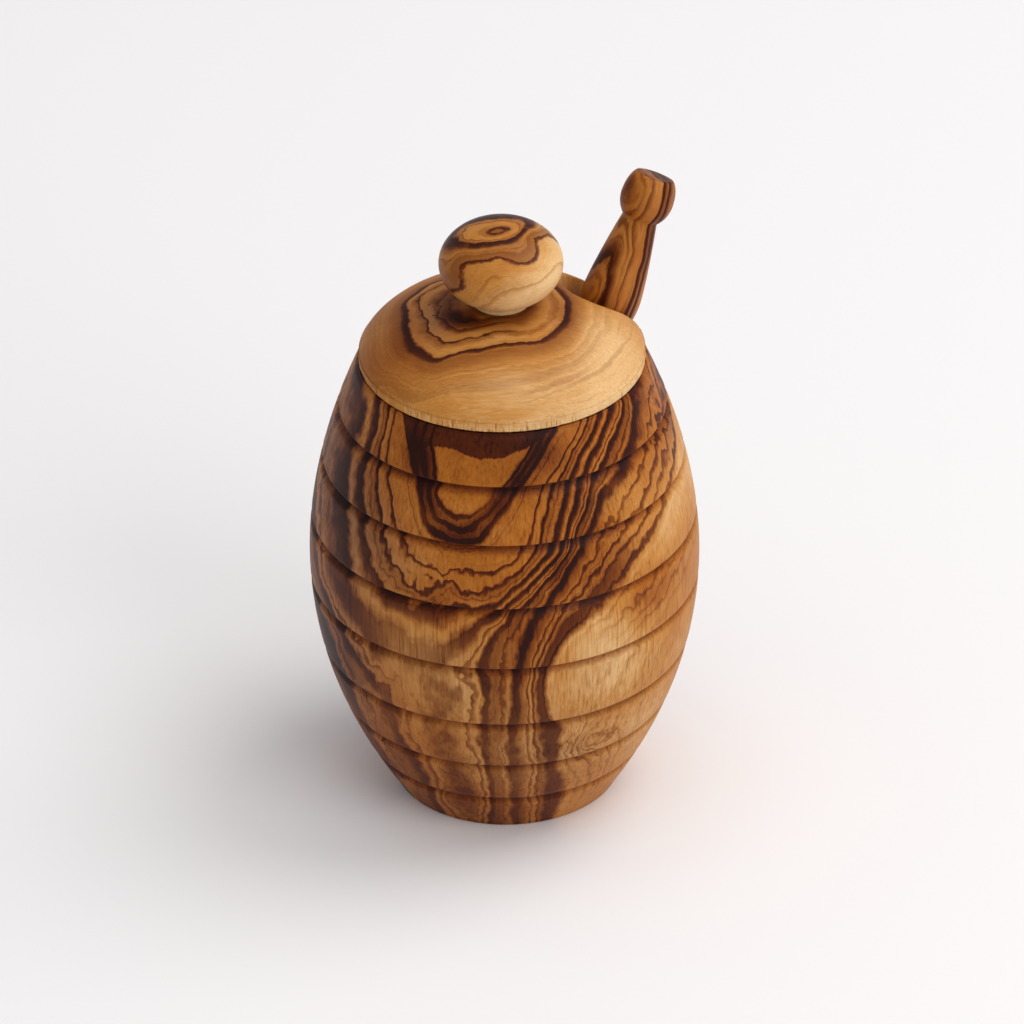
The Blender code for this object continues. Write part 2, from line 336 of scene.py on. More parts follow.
def bore(height):
    belly = pot["bellyRadius"] - pot["bellyWall"]
    if height > pot["bellyHeight"]:
        mouth = pot["rimRadius"] - pot["rimWall"]
        return curved(height, belly, pot["rimHeight"], mouth, pot["boreUpper"])
    floorRadius = outer(pot["floor"]) - pot["floorWall"]
    return curved(height, belly, pot["floor"], floorRadius, pot["boreLower"])


def grooveShape(edge):
    # rounded nose of the upper band, the undercut, and the slope out to the next band
    nose = outer(edge)
    foot = edge - pot["grooveWidth"]
    depth, lip = pot["grooveDepth"], pot["grooveLip"]
    points = [(nose - 0.03, edge + 0.22), (nose - 0.05, edge + 0.10), (nose - 0.14, edge),
              (nose - 0.34, edge - 0.10), (nose - 0.70, edge - 0.20),
              (nose - depth + 0.1, edge - lip), (nose - depth, edge - lip - 0.14)]
    for share in (0.25, 0.5, 0.75, 0.9):
        height = edge - lip - 0.14 + (foot - edge + lip + 0.14) * share
        points.append((nose - depth + (outer(foot) - nose + depth) * share - 0.02, height))
    points.append((outer(foot) - 0.03, foot - 0.06))
    points.append((outer(foot - 0.3) - 0.01, foot - 0.3))
    return points


def potProfile():
    floor, belly, rim = pot["floor"], pot["bellyHeight"], pot["rimHeight"]
    points = [(0.0, floor)]
    points += [(radius, floor) for radius in spread(0.0, bore(floor) - 1.2, 8)[1:]]
    points += [(bore(floor) - 0.5, floor + 0.12), (bore(floor) - 0.1, floor + 0.45)]
    points += [(bore(height), height) for height in spread(floor + 1.0, belly, pot["boreSteps"])]
    points += [(bore(height), height) for height in spread(belly, rim - 1.0, pot["boreSteps"])[1:]]
    mouth = bore(rim)
    for angle in spread(0.0, math.pi / 2, 4):
        points.append((mouth + 0.7 - 0.7 * math.cos(angle), rim - 0.7 + 0.7 * math.sin(angle)))
    outside = pot["rimRadius"]
    for angle in spread(0.0, math.pi / 2, 4):
        points.append((outside - 0.4 + 0.4 * math.sin(angle), rim - 0.4 + 0.4 * math.cos(angle)))
    bandTop = rim - 0.5
    for share in pot["grooveShares"]:
        edge = share * rim
        points += [(outer(height), height) for height in spread(bandTop, edge + 0.5, pot["bandSteps"])]
        points += grooveShape(edge)
        bandTop = edge - pot["grooveWidth"] - 0.6
    chamfer = pot["baseChamfer"]
    points += [(outer(height), height) for height in spread(bandTop, chamfer + 0.3, pot["bandSteps"])]
    for angle in spread(0.0, math.pi / 2, 4):
        radius = outer(chamfer) - chamfer + chamfer * math.cos(angle)
        points.append((radius, chamfer - chamfer * math.sin(angle)))
    points += [(radius, 0.0) for radius in spread(pot["baseRadius"] - chamfer - 0.6, 0.0, 6)]
    return points


# the pot's growth rings as read off the photographed side: (ring, ((right, up), ...)) in millimetres
potRings = (
    (1.0, ((-7.5, 94.5), (-6.5, 98), (-4, 101.5), (-1, 104))),
    (3.0, ((-12.5, 104), (-12.5, 99), (-12.3, 95), (-11.5, 91.5), (-8, 90), (-5, 91.5), (-1, 95.5),
           (2, 99), (5, 103))),
    (5.0, ((-14.7, 99), (-14.5, 93), (-14, 90), (-12, 88.5), (-8, 88), (-5, 89.7), (-2, 93),
           (2, 97), (6, 102))),
    (7.0, ((-17, 99), (-16, 94), (-15.6, 90), (-14.6, 87), (-12, 86), (-9, 85.3), (-6.5, 86.3),
           (-4, 88.3), (-1.8, 91), (1, 94), (4, 97.7), (8, 103))),
    (10.0, ((-19.5, 98), (-18, 92), (-17.2, 88), (-16, 84), (-13, 82.3), (-9, 82), (-6, 82.7),
            (-3.5, 85.5), (-1, 88.5), (1.5, 91.7), (4.5, 95.5), (7.5, 99.5), (11, 104.5))),
    (15.0, ((-22, 99), (-20.8, 91), (-19.6, 85), (-17.5, 80.5), (-11, 79.3), (-4, 80), (0, 83.5),
            (3, 88.5), (6, 94), (10, 99.5), (14, 104.5))),
    (20.0, ((-24, 100), (-24.6, 90), (-23, 82), (-20, 78), (-17, 75.3), (-13, 75.6), (-8, 76.3),
            (-3, 76), (1.5, 78), (5, 81), (6, 85), (6.9, 89), (8, 93), (11, 97), (14, 101), (17, 105))),
    (23.0, ((-25, 101), (-27.3, 92), (-27, 84), (-25.5, 75), (-22, 70.5), (-17, 70.2), (-12, 71),
            (-7, 71.5), (-3, 71), (1, 74), (5, 78), (7.5, 82), (9, 88), (11, 92), (13.2, 96.5),
            (16, 101), (18.5, 105))),
    (26.0, ((-27, 101), (-30, 91), (-30.5, 83), (-29.5, 74), (-26, 66), (-18, 65), (-8, 67),
            (-4, 68), (0, 70.5), (5, 75), (9.7, 79.5), (11.7, 86), (12.7, 90), (14.5, 95),
            (17.3, 100), (20.3, 105))),
    (29.0, ((-29.5, 101), (-33, 90), (-34, 82), (-33.5, 72), (-30, 60), (-18, 56), (-10, 60),
            (-6, 64), (-1, 67), (4, 71.5), (8, 75.5), (12, 79.8), (13.5, 84), (15, 88.5), (16, 93),
            (18, 97), (21, 101), (23, 105))),
    (31.0, ((-33.5, 99), (-37, 87), (-38, 76), (-38.5, 60), (-20, 45), (-12, 50), (-9.5, 55),
            (-9, 45), (-10, 36), (-10, 30), (-7.3, 20), (-6, 12), (-6.5, 3))),
    (33.0, ((-4, 57), (-2.5, 62), (2, 67), (7, 72), (12, 77), (15, 82), (17.3, 87), (19.5, 93),
            (23, 99), (25.5, 104), (-5.5, 50), (-4.7, 44), (-5.5, 34), (-4.5, 24), (-3.7, 14),
            (-4, 5))),
    (35.0, ((-2, 55), (0, 61), (4, 66), (-1.8, 47), (-1.6, 40), (-2.8, 32), (-2, 22), (-1.4, 12),
            (-1.6, 2))),
    (37.0, ((27.5, 105), (27.6, 100), (27.2, 96), (25.5, 93.2), (22.5, 91), (20, 88), (18, 84),
            (16, 80), (13.5, 75.5), (10.5, 70.5), (7.5, 66), (5, 61), (3, 55), (1.8, 47), (1.6, 40),
            (0.8, 31), (1, 20), (1.4, 10), (1.4, 1))),
    (40.0, ((31, 105), (31.5, 98), (30, 91.5), (26, 86), (22, 80), (17.5, 74), (12.5, 68.5),
            (9, 63), (6.5, 57), (5.3, 50), (4.8, 43), (4.6, 35), (4.6, 24), (4.6, 12), (4.4, 1))),
    (43.0, ((35, 100), (35.5, 94), (33.5, 86), (29.5, 79.5), (25, 76), (20.5, 71), (15.5, 66),
            (11.5, 61.5), (8.7, 56), (6.7, 50), (6.3, 44), (7, 37), (8, 27), (8, 16), (7.5, 5))),
    (46.0, ((38, 92), (37.5, 84), (34, 76), (29, 72), (25, 68), (20, 64), (15, 60), (11.4, 55.5),
            (8.8, 50), (8.4, 45), (9.8, 39), (11.5, 31), (12, 20), (12, 8))),
    (50.0, ((39.5, 76), (35, 66), (27, 60), (20, 55), (15, 48), (15, 42), (17, 34), (18, 22),
            (18, 10))),
    (55.0, ((40.5, 62), (32, 52), (26, 45), (24, 38), (25, 28), (23, 14))),
    (60.0, ((41, 50), (37, 40), (31, 26), (24, 6))),
    (57.0, ((18.2, 28.4),)),
    (54.0, ((16.4, 28), (18.2, 30), (20.2, 28.6), (18.2, 26.6))),
    (44.0, ((12.4, 30.6),)),
    (30.2, ((-15, 47), (-16, 38), (-15, 30), (-25, 56), (-29, 52), (-12, 20), (-11, 10))),
    (32.5, ((-24, 40), (-31, 46), (-22, 28), (-17, 18), (-15, 6))),
    (36.0, ((-34, 40), (-31, 31), (-27, 20), (-21, 10), (-21, 2), (-39, 50))),
)

# and on the side the photograph doesn't show, where another nest of rings closes
potBackRings = (
    (14.0, ((2, 68), (3, 60))),
    (20.0, ((-7, 62), (0, 46), (10, 60), (5, 80))),
    (27.0, ((-15, 60), (-4, 30), (18, 58), (12, 94), (-8, 90))),
    (36.0, ((-25, 55), (-15, 15), (0, 3), (14, 20), (26, 56), (22, 96), (-18, 100))),
    (44.0, ((-33, 60), (-22, 12), (34, 60), (23, 12), (31, 90))),
    (34.0, ((-33, 88), (-38, 74))),
)

potFigure = {
    "girth": 40.0,
    # (ring, width, darkness, fading tail): sharp lines, then broad soft bands
    "innerLines": ((5.2, 1.0, 1.0, 0.1), (7.3, 1.6, 1.0, 0.0), (10.0, 2.0, 1.0, 0.2),
                   (19.9, 0.6, 0.85, 0.3), (22.7, 0.8, 0.95, 0.2)),
    "middleLines": ((24.1, 0.3, 0.6, 0.3), (26.2, 1.6, 1.0, 0.4), (29.6, 1.9, 1.0, 0.4),
                    (31.8, 0.35, 0.7, 0.2), (33.4, 1.3, 1.0, 0.3)),
    "outerLines": ((35.4, 0.4, 0.7, 0.3), (37.4, 1.9, 1.0, 0.4), (40.2, 0.4, 0.7, 0.2),
                   (41.8, 0.6, 0.85, 0.3), (43.4, 0.5, 0.85, 0.3), (45.1, 0.8, 0.95, 0.1)),
    "sapLines": ((47.4, 0.3, 0.5, 0.3), (49.2, 0.4, 0.6, 0.5), (51.0, 0.3, 0.5, 0.4),
                 (52.6, 0.4, 0.6, 0.3), (54.4, 0.3, 0.45, 0.5), (57.5, 0.4, 0.4, 0.5)),
    "bands": ((7.8, 5.4, 0.5, 0.4), (23.5, 1.6, 0.3, 1.0), (29.5, 1.8, 0.42, 1.2),
              (34.6, 1.6, 0.45, 0.8), (38.0, 1.6, 0.5, 0.8), (44.3, 3.0, 0.68, 0.1)),
    # soft spots on the side, as (right, up, half width, half height, amount)
    "pale": ((22, 50, 12, 11, 0.42), (8, 40, 5, 10, 0.1), (36, 80, 8, 12, 0.3), (22, 88, 5, 4, 0.3),
             (-20, 58, 14, 8, 0.26), (-30, 100, 6, 10, 0.15), (26, 26, 10, 10, 0.26),
             (-15, 44, 16, 14, 0.30), (0, 25, 16, 14, 0.2), (31, 63, 6, 4.5, -0.28),
             (0, 97, 22, 9, -0.08)),
    # the two grey spots at the left edge paint a greyish sheen, a reflection; the low middle spot is grey
    # wood
    "greyShadeAndSheen": ((-36, 86, 8, 22, 0.5), (-38, 40, 10, 22, 0.5), (-27, 76, 8, 10, 0.3),
             (4, 26, 22, 20, 0.32), (-16, 50, 12, 10, 0.2)),
    "wobble": ((-14, 73, 12, 7, 1.2), (28, 82, 10, 10, 0.4), (20, 30, 14, 10, 0.8),
               (-24, 42, 14, 10, 0.6), (27, 62, 9, 7, 0.5), (36, 96, 6, 10, 0.6)),
    "plain": ((-20, 58, 13, 7, 0.6), (-19, 46, 9, 7, 0.4), (-14, 73, 12, 6, 0.2),
              (30, 62, 12, 7, 0.6), (1.5, 85, 3, 5, 0.8), (-5.5, 95, 4.5, 4, 1.0),
              (-8.5, 92, 4, 3, 1.0)),
    "smokeAndShade": ((-37, 38, 7, 9, 0.6), (18, 88, 3.5, 3, 0.6), (4, 58, 3, 5, 0.3), (14, 27, 6, 3, 0.35),
              (8.5, 100.5, 4, 4, 1.1), (3.5, 95, 2.6, 3, 0.9), (-18.5, 98, 3, 4, 1.1),
              (-16.5, 91, 2, 4, 0.7), (-10, 83, 5, 1.8, 0.8), (-1.0, 90, 2, 2.5, 0.6),
              (12, 76, 2.5, 4, 0.5), (33, 80, 7, 12, -0.7), (-20, 40, 12, 16, -0.5)),
    "knots": ((20, 27, 13, 8, 1.0), (30, 47, 12, 6, 0.45), (31, 63, 10, 7, 0.8), (12, 14, 12, 10, 0.7)),
    "calm": ((33, 80, 9, 14, 1.0), (-22, 40, 14, 18, 0.5), (-12, 72, 10, 8, 0.2),
             (-15, 16, 10, 14, 0.4)),
    "patchEdge": ((-24, 112), (-21.5, 106), (-20.5, 99), (-19.5, 97.5), (-17.5, 99), (-16, 100.3),
                  (-13, 101), (-9, 100.6), (-5, 99.6), (0, 100.1), (5, 101.6), (10, 104.2),
                  (13, 107), (16, 112)),
}


def onPot(u, height, behind=False):
    # a point of the side, with the barrel rolled out to one radius
    angle = math.asin(max(-1.0, min(1.0, u / outer(height))))
    depth = potFigure["girth"] * math.cos(angle)
    return (potFigure["girth"] * math.sin(angle), depth if behind else -depth, height)


def paintPot(mesh):
    places = viewPlaces(mesh)
    heights = np.clip(places[:, 2], 0.0, pot["rimHeight"])
    outside = np.array([outer(height) for height in heights])
    roll = potFigure["girth"] / outside
    rolled = np.stack([places[:, 0] * roll, places[:, 1] * roll, heights], axis=1)
    behind = [(ring, tuple((*point, True) for point in stroke)) for ring, stroke in potBackRings]
    growth = Growth(potRings + tuple(behind), onPot).at(rolled)
    side = np.stack([places[:, 0], heights], axis=1)
    front = np.clip(-places[:, 1] / pot["turnAway"] + 0.4, 0.0, 1.0)
    spots = {name: front * ovals(side, potFigure[name])
             for name in ("pale", "greyShadeAndSheen", "plain", "wobble", "smokeAndShade", "knots", "calm")}
    spots["pale"] += pot["groundTone"] + (1 - front) * pot["backTone"]
    spots["wobble"] += (1 - front) * 0.08
    edge = np.interp(side[:, 0], *zip(*potFigure["patchEdge"]))
    patch = np.where(places[:, 1] < 0, heights - edge, -9.0)
    reach = np.hypot(places[:, 0], places[:, 1])
    inside = reach < outside - 2.0
    # painted groove shade: how far each point sits inside a groove, so that the grooves are coloured
    # darker as if shaded
    grooveShadeMask = np.where(inside, 0.0, np.clip((outside - reach) / pot["grooveDepth"], 0.0, 1.0))
    paint(mesh, "figure", (growth, spots["plain"], spots["wobble"]))
    paint(mesh, "tone", (spots["pale"], spots["greyShadeAndSheen"], grooveShadeMask))
    paint(mesh, "stain", (patch, spots["smokeAndShade"], np.where(inside, 1.0, 0.0)))
    paint(mesh, "detail", (spots["knots"], spots["calm"], np.zeros(len(places))))


def potWood():
    f = Finish("potOliveWood")
    space = f.objectSpace(turn=math.radians(-view["azimuth"]))
    _, depth, height = f.parts(space)
    growth, plain, wobble = f.painted("figure")
    pale, greyShadeAndSheen, grooveShadeMask = f.painted("tone")
    patch, smokeAndShade, inside = f.painted("stain")
    knots, calm, _ = f.painted("detail")
    slow = f.clouds(space, 0.05, 1.0)
    small = f.clouds(f.stretch(space, (1, 1, 0.75)), 0.24, 2.0, 0.55)
    jag = f.clouds(f.stretch(space, (1, 1, 0.5), shift=(40, 7, 3)), 0.9)

    steady = 1.0 - f.least(calm * 0.6, 0.6)
    ring = growth + (small[0] - 0.5) * (2.0 + wobble * 7.0) * steady + (jag[0] - 0.5) * 0.7 * steady
    lines = f.most(f.bars(ring, 0, 25, potFigure["innerLines"]),
                   f.bars(ring, 22, 36, potFigure["middleLines"]))
    lines = f.most(lines, f.bars(ring, 33, 48, potFigure["outerLines"]))
    bands = f.bars(ring + (small[1] - 0.5) * 1.5, 0, 50, potFigure["bands"])
    fade = f.smooth(slow[1] * 0.6 + small[2] * 0.4, 0.30, 0.52) * 0.3 + 0.7
    sap = f.smooth(ring, 45.6, 46.6)
    lines = f.most(lines * fade * (1.0 - f.least(plain, 0.85)),
                   f.bars(ring, 45, 62, potFigure["sapLines"]) * f.least(knots, 1.0))
    bands = bands * (1.0 - f.least(calm, 0.9)) * (slow[1] * 0.5 + 0.75)
    low = 1.0 - f.smooth(height, 30.0, 58.0)
    lines = lines * (1.0 - low * 0.3)

    # unplanned lines that follow the same rings
    streaks = f.threads(ring, depth, height, 0.85, (0.01, 0.012), 3.0)
    fine = f.threads(ring, depth, height, 2.6, (0.02, 0.03), 2.0)
    wild = f.smooth(streaks, 0.54, 0.66) * (0.42 + low * 0.1)
    wild = wild + f.smooth(fine, 0.57, 0.7) * (0.22 + low * 0.26)
    wild = wild * (1.0 - sap * 0.75) * (1.0 - f.least(plain * 0.6, 0.6)) * 0.85
    under = f.smooth(patch + (jag[1] - 0.5) * 1.2 + (small[2] - 0.5), 0.0, 0.5)
    dark = f.most(f.most(lines, bands * (1.0 - sap)), wild)
    # the grooves get painted shade here
    dark = f.most(dark, under * (small[0] * 0.2 + 0.64)) + smokeAndShade * 0.45 + grooveShadeMask * 0.16
    ground = pale + sap * 0.18 + (slow[2] - 0.5) * 0.5
    ground = ground + (small[2] - 0.5) * 0.25 + (streaks - 0.5) * 0.3
    pores = f.noise(f.stretch(space, (1.7, 1.7, 0.09)), 1.0, 2.0, 0.6)
    # painted groove shade: a darker ground inside the grooves
    ground = ground - grooveShadeMask * 0.12 - (pores - 0.5) * 0.45
    dark = dark + f.smooth(pores, 0.54, 0.72) * 0.14

    fibre = f.noise(f.stretch(space, (3.4, 3.4, 0.20)), 1.0, 3.0, 0.7)
    # grey carries grey wood and the painted greyish sheen at the left edge
    tone = woodTone(f, ground, f.least(greyShadeAndSheen, 0.8), dark, fibre)
    # painted groove shade: a red-brown tint multiplied into the grooves
    tone = f.mix(grooveShadeMask * 0.85, tone, f.mix(1.0, tone, woodColours["grooveShadeTint"], "MULTIPLY"))
    rough = pot["rough"] + fibre * 0.14 + inside * 0.12
    return f.finish(tone, rough, fibre * 0.6 - dark * 0.3, pot["bump"])


# lid

lid = {
    "radius": 30.9, "edge": 1.6, "rise": 12.5, "flatPower": 2.6, "roundPower": 0.714, "seat": 105.2,
    "knobSeat": 8.4, "seatEdge": 6.7, "tenonRadius": 4.3, "tenonDepth": 8.8, "spigotGap": 0.6,
    "spigotDepth": 3.5, "recessRadius": 23.5, "recessDepth": 6.5, "notchWidth": 16.0, "notchReach": 16.0,
    "roundShare": 0.97, "groundTone": 0.46, "rough": 0.44, "bump": 0.05,
    "segments": 480, "domeSteps": 44, "lip": 0.45, "fibre": 0.34,
}


def dome(radius):
    share = min(radius / lid["radius"], 1.0)
    return lid["edge"] + lid["rise"] * (1.0 - share ** lid["flatPower"]) ** lid["roundPower"]


def lidProfile():
    seatHeight = dome(lid["knobSeat"])
    hole = lid["tenonRadius"]
    bottom = seatHeight - lid["tenonDepth"]
    points = [(0.0, bottom), (hole, bottom), (hole, seatHeight)]
    points += [(radius, seatHeight) for radius in spread(hole, lid["seatEdge"], 4)[1:]]
    points.append((lid["seatEdge"] + 0.1, dome(lid["seatEdge"] + 0.1)))
    start = math.asin((lid["seatEdge"] + 0.1) / lid["radius"])
    for angle in spread(start, math.radians(86.5), lid["domeSteps"])[1:]:
        radius = lid["radius"] * math.sin(angle)
        points.append((radius, dome(radius)))
    rim = lid["radius"]
    points += [(rim - 0.02, 2.1), (rim, 1.6), (rim, 1.2), (rim, 0.8), (rim - 0.02, 0.4)]
    points += [(rim - 0.12, 0.12), (rim - 0.3, 0.0)]
    spigot = pot["rimRadius"] - pot["rimWall"] - lid["spigotGap"]
    drop = lid["spigotDepth"]
    points += [(radius, 0.0) for radius in spread(rim - 0.8, spigot, 3)]
    points += [(spigot, height) for height in spread(-0.5, -drop + 0.5, 4)]
    points += [(spigot - 0.15, -drop + 0.15), (spigot - 0.5, -drop)]
    points += [(radius, -drop) for radius in spread(spigot - 1.0, lid["recessRadius"], 4)]
    for angle in spread(0.0, math.pi / 2, 12)[1:]:
        radius = lid["recessRadius"] * math.cos(angle)
        points.append((radius, lid["recessDepth"] * math.sin(angle) - drop))
    return points


def fromNotch(x, y):
    # distance from the notch's outline, in millimetres, on the lid's side of it
    half = lid["notchWidth"] / 2
    centre = lid["notchReach"] + half
    if x < centre:
        return math.hypot(x - centre, y) - half
    return abs(y) - half


def notchCutter():
    half = lid["notchWidth"] / 2
    shape = bmesh.new()
    bmesh.ops.create_cube(shape, size=1.0)
    length = lid["radius"] + 4 - lid["notchReach"]
    bmesh.ops.scale(shape, vec=(length * mm, lid["notchWidth"] * mm, 40 * mm), verts=shape.verts)
    middle = Vector((lid["notchReach"] + length / 2, 0, lid["seat"] + 5)) * mm
    bmesh.ops.translate(shape, vec=middle, verts=shape.verts)
    corners = [edge for edge in shape.edges if edge.verts[0].co.xy == edge.verts[1].co.xy
               and edge.verts[0].co.x < middle.x]
    bmesh.ops.bevel(shape, geom=corners, offset=half * lid["roundShare"] * mm, offset_type="OFFSET",
                    segments=28, profile=0.5, affect="EDGES", clamp_overlap=True, material=-1)
    mesh = bpy.data.meshes.new("notchCutter")
    shape.to_mesh(mesh)
    shape.free()
    cutter = bpy.data.objects.new("notchCutter", mesh)
    bpy.context.scene.collection.objects.link(cutter)
    return cutter


def lidShape():
    whole = turned(lidProfile(), lid["segments"])
    bmesh.ops.translate(whole, vec=(0, 0, lid["seat"] * mm), verts=whole.verts)
    mesh = bpy.data.meshes.new("wholeLid")
    whole.to_mesh(mesh)
    whole.free()
    blank = bpy.data.objects.new("wholeLid", mesh)
    bpy.context.scene.collection.objects.link(blank)
    cutter = notchCutter()
    cut = blank.modifiers.new("notch", "BOOLEAN")
    cut.operation = "DIFFERENCE"
    cut.solver = "EXACT"
    cut.object = cutter
    seen = blank.evaluated_get(bpy.context.evaluated_depsgraph_get())
    shape = bmesh.new()
    shape.from_mesh(seen.to_mesh())
    seen.to_mesh_clear()
    bpy.data.objects.remove(blank)
    bpy.data.objects.remove(cutter)
    bmesh.ops.remove_doubles(shape, verts=shape.verts, dist=0.01 * mm)
    softenLid(shape)
    return shape


def softenLid(shape):
    # rounds the notch's upper edge, and leaves the torn fibres of the rim's lower edge
    for vert in shape.verts:
        x, y, z = vert.co / mm
        radius = math.hypot(x, y)
        above = z - lid["seat"]
        gap = fromNotch(x, y)
        if above > dome(min(radius, lid["radius"])) - 0.05 and -0.1 < gap < lid["lip"]:
            share = 1.0 - max(gap, 0.0) / lid["lip"]
            vert.co.z -= lid["lip"] * (1.0 - math.sqrt(1.0 - share ** 2)) * mm
        if radius > lid["radius"] - 0.4 and above < 1.0:
            tear = 0.5 * noise.noise(Vector((x, y, z * 0.3)) * 0.9)
            tear += noise.noise(Vector((x, y, z * 0.4)) * 3.7)
            low = 1.0 - max(above, 0.0)
            vert.co.z += lid["fibre"] * (tear - 0.35) * low * mm
            vert.co.xy *= 1.0 + lid["fibre"] / lid["radius"] * tear * low


# the lid's growth rings in plan, as (right, away) from its middle
lidRings = (
    (-14.0, ((-2, 0),)),
    (-7.5, ((-13, -5), (-9, -10.5), (-4, -9.5), (1, -8.5), (5, -8.5), (7, -5), (8, 0), (5, 5),
            (0, 7.5), (-6, 8), (-11, 5), (-13.5, 0))),
    (-3.5, ((-18, 6), (-17.5, 1), (-16, -5), (-14.5, -10), (-12, -13), (-9.5, -14.3), (-8, -13),
            (-4, -12.5), (0, -11.5), (5, -11.3), (9, -9), (11.2, -4), (11.2, 2), (8, 7), (0, 10),
            (-8, 11), (-14, 9.5))),
    (0.0, ((-20.5, 1), (-20.5, -5), (-19, -12), (-16, -16), (-12.5, -17.5), (-8.5, -16.5),
           (-5, -17), (0, -15.5), (5, -15), (9, -13.5), (11, -11), (13, -8), (14, -4), (14, 0),
           (13, 4), (10, 9), (4, 13), (-4, 14), (-12, 12.5), (-18, 8.5))),
    (4.0, ((-24.5, 1), (-23, -13), (-15, -21), (-5, -21), (6, -19), (14, -14.5), (18, -4),
           (17.5, 5), (8, 16), (-10, 18), (-21, 12))),
    (12.0, ((-30.9, 0), (-25, -18))),
    (15.0, ((-14, -27), (0, -30), (20, -20), (28, -6), (26, 12), (10, 28), (-10, 29), (-24, 19))),
    (18.0, ((14, -28), (29, -12))),
)

lidFigure = {
    "lines": ((-9.6, 0.5, 0.8, 0.3), (-7.4, 0.6, 0.75, 1.2), (-3.5, 0.4, 0.9, 0.5),
              (4.6, 0.25, 0.25, 0.8), (7.4, 0.25, 0.2, 0.8)),
    "contour": ((0.1, 1.5, 0.92, 0.8),),
    "bands": ((-9.0, 3.0, 0.5, 0.5), (-2.9, 0.8, 0.3, 0.6), (1.8, 2.4, 0.36, 2.0),
              (6.2, 1.0, 0.14, 1.4), (8.6, 1.2, 0.14, 1.2)),
    "pale": ((4, -28, 22, 9, 0.28), (24, -12, 11, 18, 0.42), (-26, -14, 12, 16, -0.10),
             (-2, -14, 9, 3, 0.16), (22, 14, 12, 12, 0.15)),
    # the first grey spot, left of the knob, is partly grey figure and partly painted shade from the knob
    "greyShadeAndSheen": ((-14, -4, 4, 7, 0.5), (-26, 0, 8, 14, 0.22)),
    # the first smoke spot, at the knob's foot, is painted shade under the knob
    "smokeAndShade": ((-8, -5.5, 4.5, 3, 0.9), (-20, -3, 2, 7, 0.25), (13.5, -3, 2.2, 5, 0.3),
              (0, -10, 5, 1.5, 0.25)),
    "pinholes": ((-14.3, -1.5), (-14.6, -3.5), (-12.9, -0.6), (-15.6, 1.2)),
}


def paintLid(mesh):
    places = viewPlaces(mesh)
    plan = places[:, :2]
    flat = np.stack([plan[:, 0], plan[:, 1], np.zeros(len(plan))], axis=1)
    growth = Growth(lidRings, lambda u, v: (u, v, 0.0), 2.0).at(flat)
    above = places[:, 2] - lid["seat"]
    atRim = np.hypot(plan[:, 0], plan[:, 1]) > lid["radius"] - 1.6
    edge = np.clip(1.0 - (above - 0.6) / 2.6, 0.0, 1.0) * atRim
    pale = lid["groundTone"] + ovals(plan, lidFigure["pale"])
    paint(mesh, "figure", (growth, pale, edge))
    paint(mesh, "tone", (ovals(plan, lidFigure["greyShadeAndSheen"]), ovals(plan, lidFigure["smokeAndShade"]), above))


def lidWood():
    f = Finish("lidOliveWood")
    space = f.objectSpace(turn=math.radians(-view["azimuth"]))
    u, v, _ = f.parts(space)
    growth, pale, edge = f.painted("figure")
    greyShadeAndSheen, smokeAndShade, above = f.painted("tone")
    slow = f.clouds(space, 0.06, 1.0)
    small = f.clouds(space, 0.3, 2.0, 0.55)
    jag = f.clouds(space, 1.1)
    inner = 1.0 - f.smooth(growth, -3.0, 1.0)
    ring = growth + (small[0] - 0.5) * (1.1 + inner * 1.6) + (jag[0] - 0.5) * 0.35
    lines = f.bars(ring, -12, 10, lidFigure["lines"])
    bands = f.bars(ring + (small[1] - 0.5) * 1.5, -12, 14, lidFigure["bands"])
    thin = 2.0 - f.smooth(abs(u + 3.0), 8.0, 15.0)
    fade = f.smooth(slow[1] * 0.5 + small[2] * 0.5, 0.32, 0.52) * 0.4 + 0.6
    streaks = f.threads(ring, u, v, 0.6, (0.02, 0.02), 3.0)
    fine = f.threads(ring, u, v, 2.0, (0.04, 0.04), 2.0)
    wild = f.smooth(streaks, 0.52, 0.68) * 0.2 + f.smooth(fine, 0.58, 0.75) * 0.08
    lines = lines * (1.0 - f.smooth(u, -4.0, 8.0) * 0.65)
    dark = f.most(f.most(lines * fade, bands), f.bars(ring * thin, -12, 14, lidFigure["contour"]))
    # smoke adds dark figure, and painted shade at the knob's foot
    dark = f.most(dark, wild) + smokeAndShade * 0.7
    for hole in lidFigure["pinholes"]:
        apart = (u - hole[0]) * (u - hole[0]) + (v - hole[1]) * (v - hole[1])
        dark = f.most(dark, (1.0 - f.smooth(apart, 0.02, 0.10)) * f.smooth(above, 6.0, 8.0) * 0.9)
    pores = f.noise(f.stretch(space, (0.12, 1.7, 1.7)), 1.0, 2.0, 0.6)
    ground = pale + (slow[2] - 0.5) * 0.3 + (small[2] - 0.5) * 0.12
    ground = ground + (streaks - 0.5) * 0.3 + inner * 0.06
    ground = ground - (pores - 0.5) * 0.25
    torn = f.noise(f.stretch(space, (2.2, 2.2, 0.22)), 1.0, 3.0, 0.65)
    ground = ground + edge * 0.16 - edge * (torn - 0.5) * 1.1
    dark = dark * (1.0 - edge * 0.6) + edge * f.smooth(torn, 0.56, 0.68) * 0.3
    fibre = f.noise(f.stretch(space, (0.3, 3.0, 3.0)), 1.0, 3.0, 0.7)
    # grey carries grey figure and the painted shade beside the knob
    tone = woodTone(f, ground, greyShadeAndSheen, dark, fibre)
    rough = lid["rough"] + fibre * 0.14 + edge * 0.15
    return f.finish(tone, rough, fibre * 0.6 - edge * torn * 3.0, lid["bump"])


# knob

